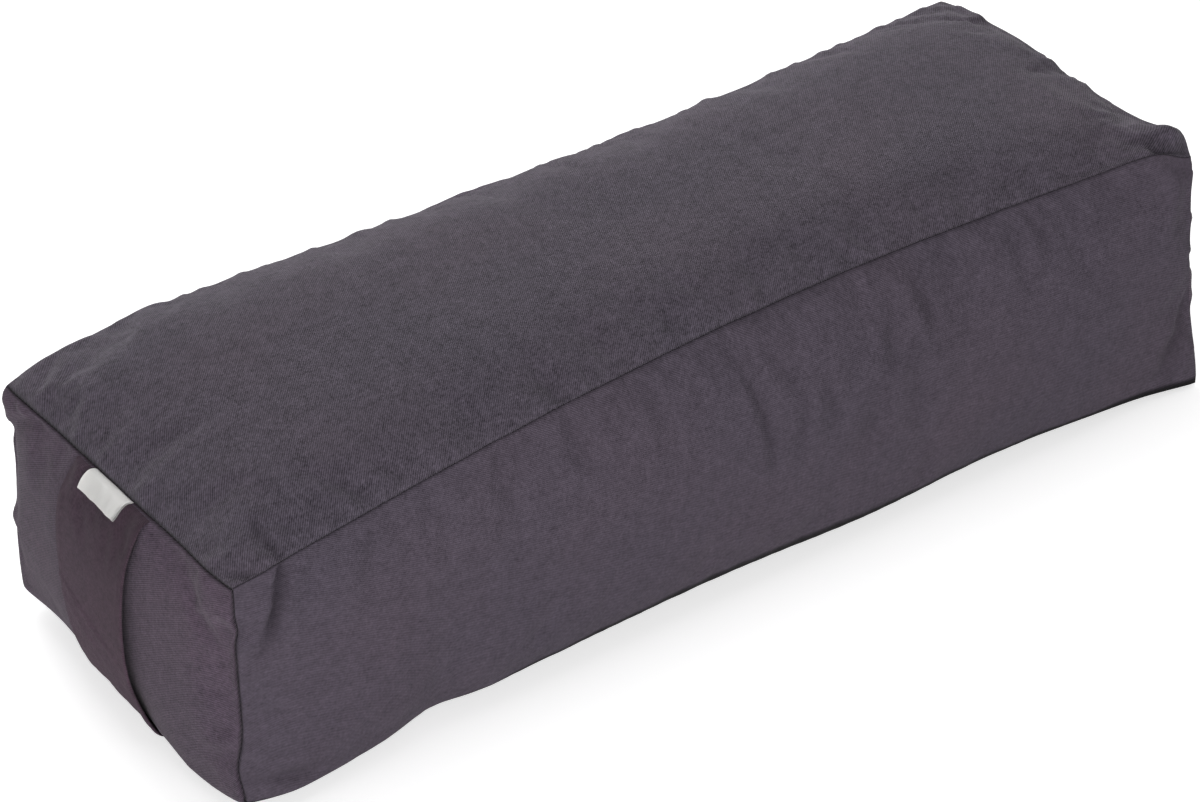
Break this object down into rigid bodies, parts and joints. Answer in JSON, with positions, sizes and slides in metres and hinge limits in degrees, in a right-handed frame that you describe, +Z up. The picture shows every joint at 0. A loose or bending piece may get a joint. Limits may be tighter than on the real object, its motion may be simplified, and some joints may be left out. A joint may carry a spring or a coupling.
{
  "type": "rectangular yoga bolster",
  "caption": "Firm boxed cushion for yoga with a dark twill cover, drawn-in seams, a wide carrying strap on one end, a blank side label and a zip along the back.",
  "frame": {"origin": "middle of the bolster's footprint, on the floor that its flat underside lies on", "axes": "+X along the length, from the end with the carrying strap to the plain end; +Y from the front long side to the back long side with the zip; +Z up"},
  "size_m": [0.6816, 0.254, 0.1832],
  "materials": {
    "twill": "matte",
    "strap_twill": "matte",
    "label": "satin",
    "zip_tape": "matte",
    "zip_teeth": "satin",
    "zip_metal": "satin",
    "bag_cotton": "matte",
    "husk": "matte"
  },
  "bodies": {
    "cushion": {"cover_top_panel": "twill", "cover_bottom_panel": "twill", "cover_front_panel": "twill", "cover_back_upper_strip": "twill", "cover_back_lower_strip": "twill", "cover_handle_end_panel": "twill", "cover_far_end_panel": "twill", "handle_strap": "strap_twill", "side_label": "label", "zip_tape_upper": "zip_tape", "zip_tape_lower": "zip_tape", "zip_teeth_upper": "zip_teeth", "zip_teeth_lower": "zip_teeth", "zip_top_stop_upper": "zip_metal", "zip_top_stop_lower": "zip_metal", "zip_bottom_stop": "zip_metal", "inner_bag_top": "bag_cotton", "inner_bag_bottom": "bag_cotton", "inner_bag_front": "bag_cotton", "inner_bag_back": "bag_cotton", "inner_bag_handle_end": "bag_cotton", "inner_bag_far_end": "bag_cotton", "husk_filling": "husk"},
    "slider": {"zip_slider": "zip_metal"},
    "pull": {"zip_pull": "zip_metal"}
  },
  "joints": [
    {"name": "zip_slide", "type": "slide", "parent": "cushion", "child": "slider", "axis": [1, 0, 0], "range_m": [0, 0.4204]},
    {"name": "pull_hinge", "type": "hinge", "parent": "slider", "child": "pull", "pos_m": [-0.20769, 0.12484, 0.07725], "axis": [0, 0, 1], "range_deg": [0, 180]}
  ]
}
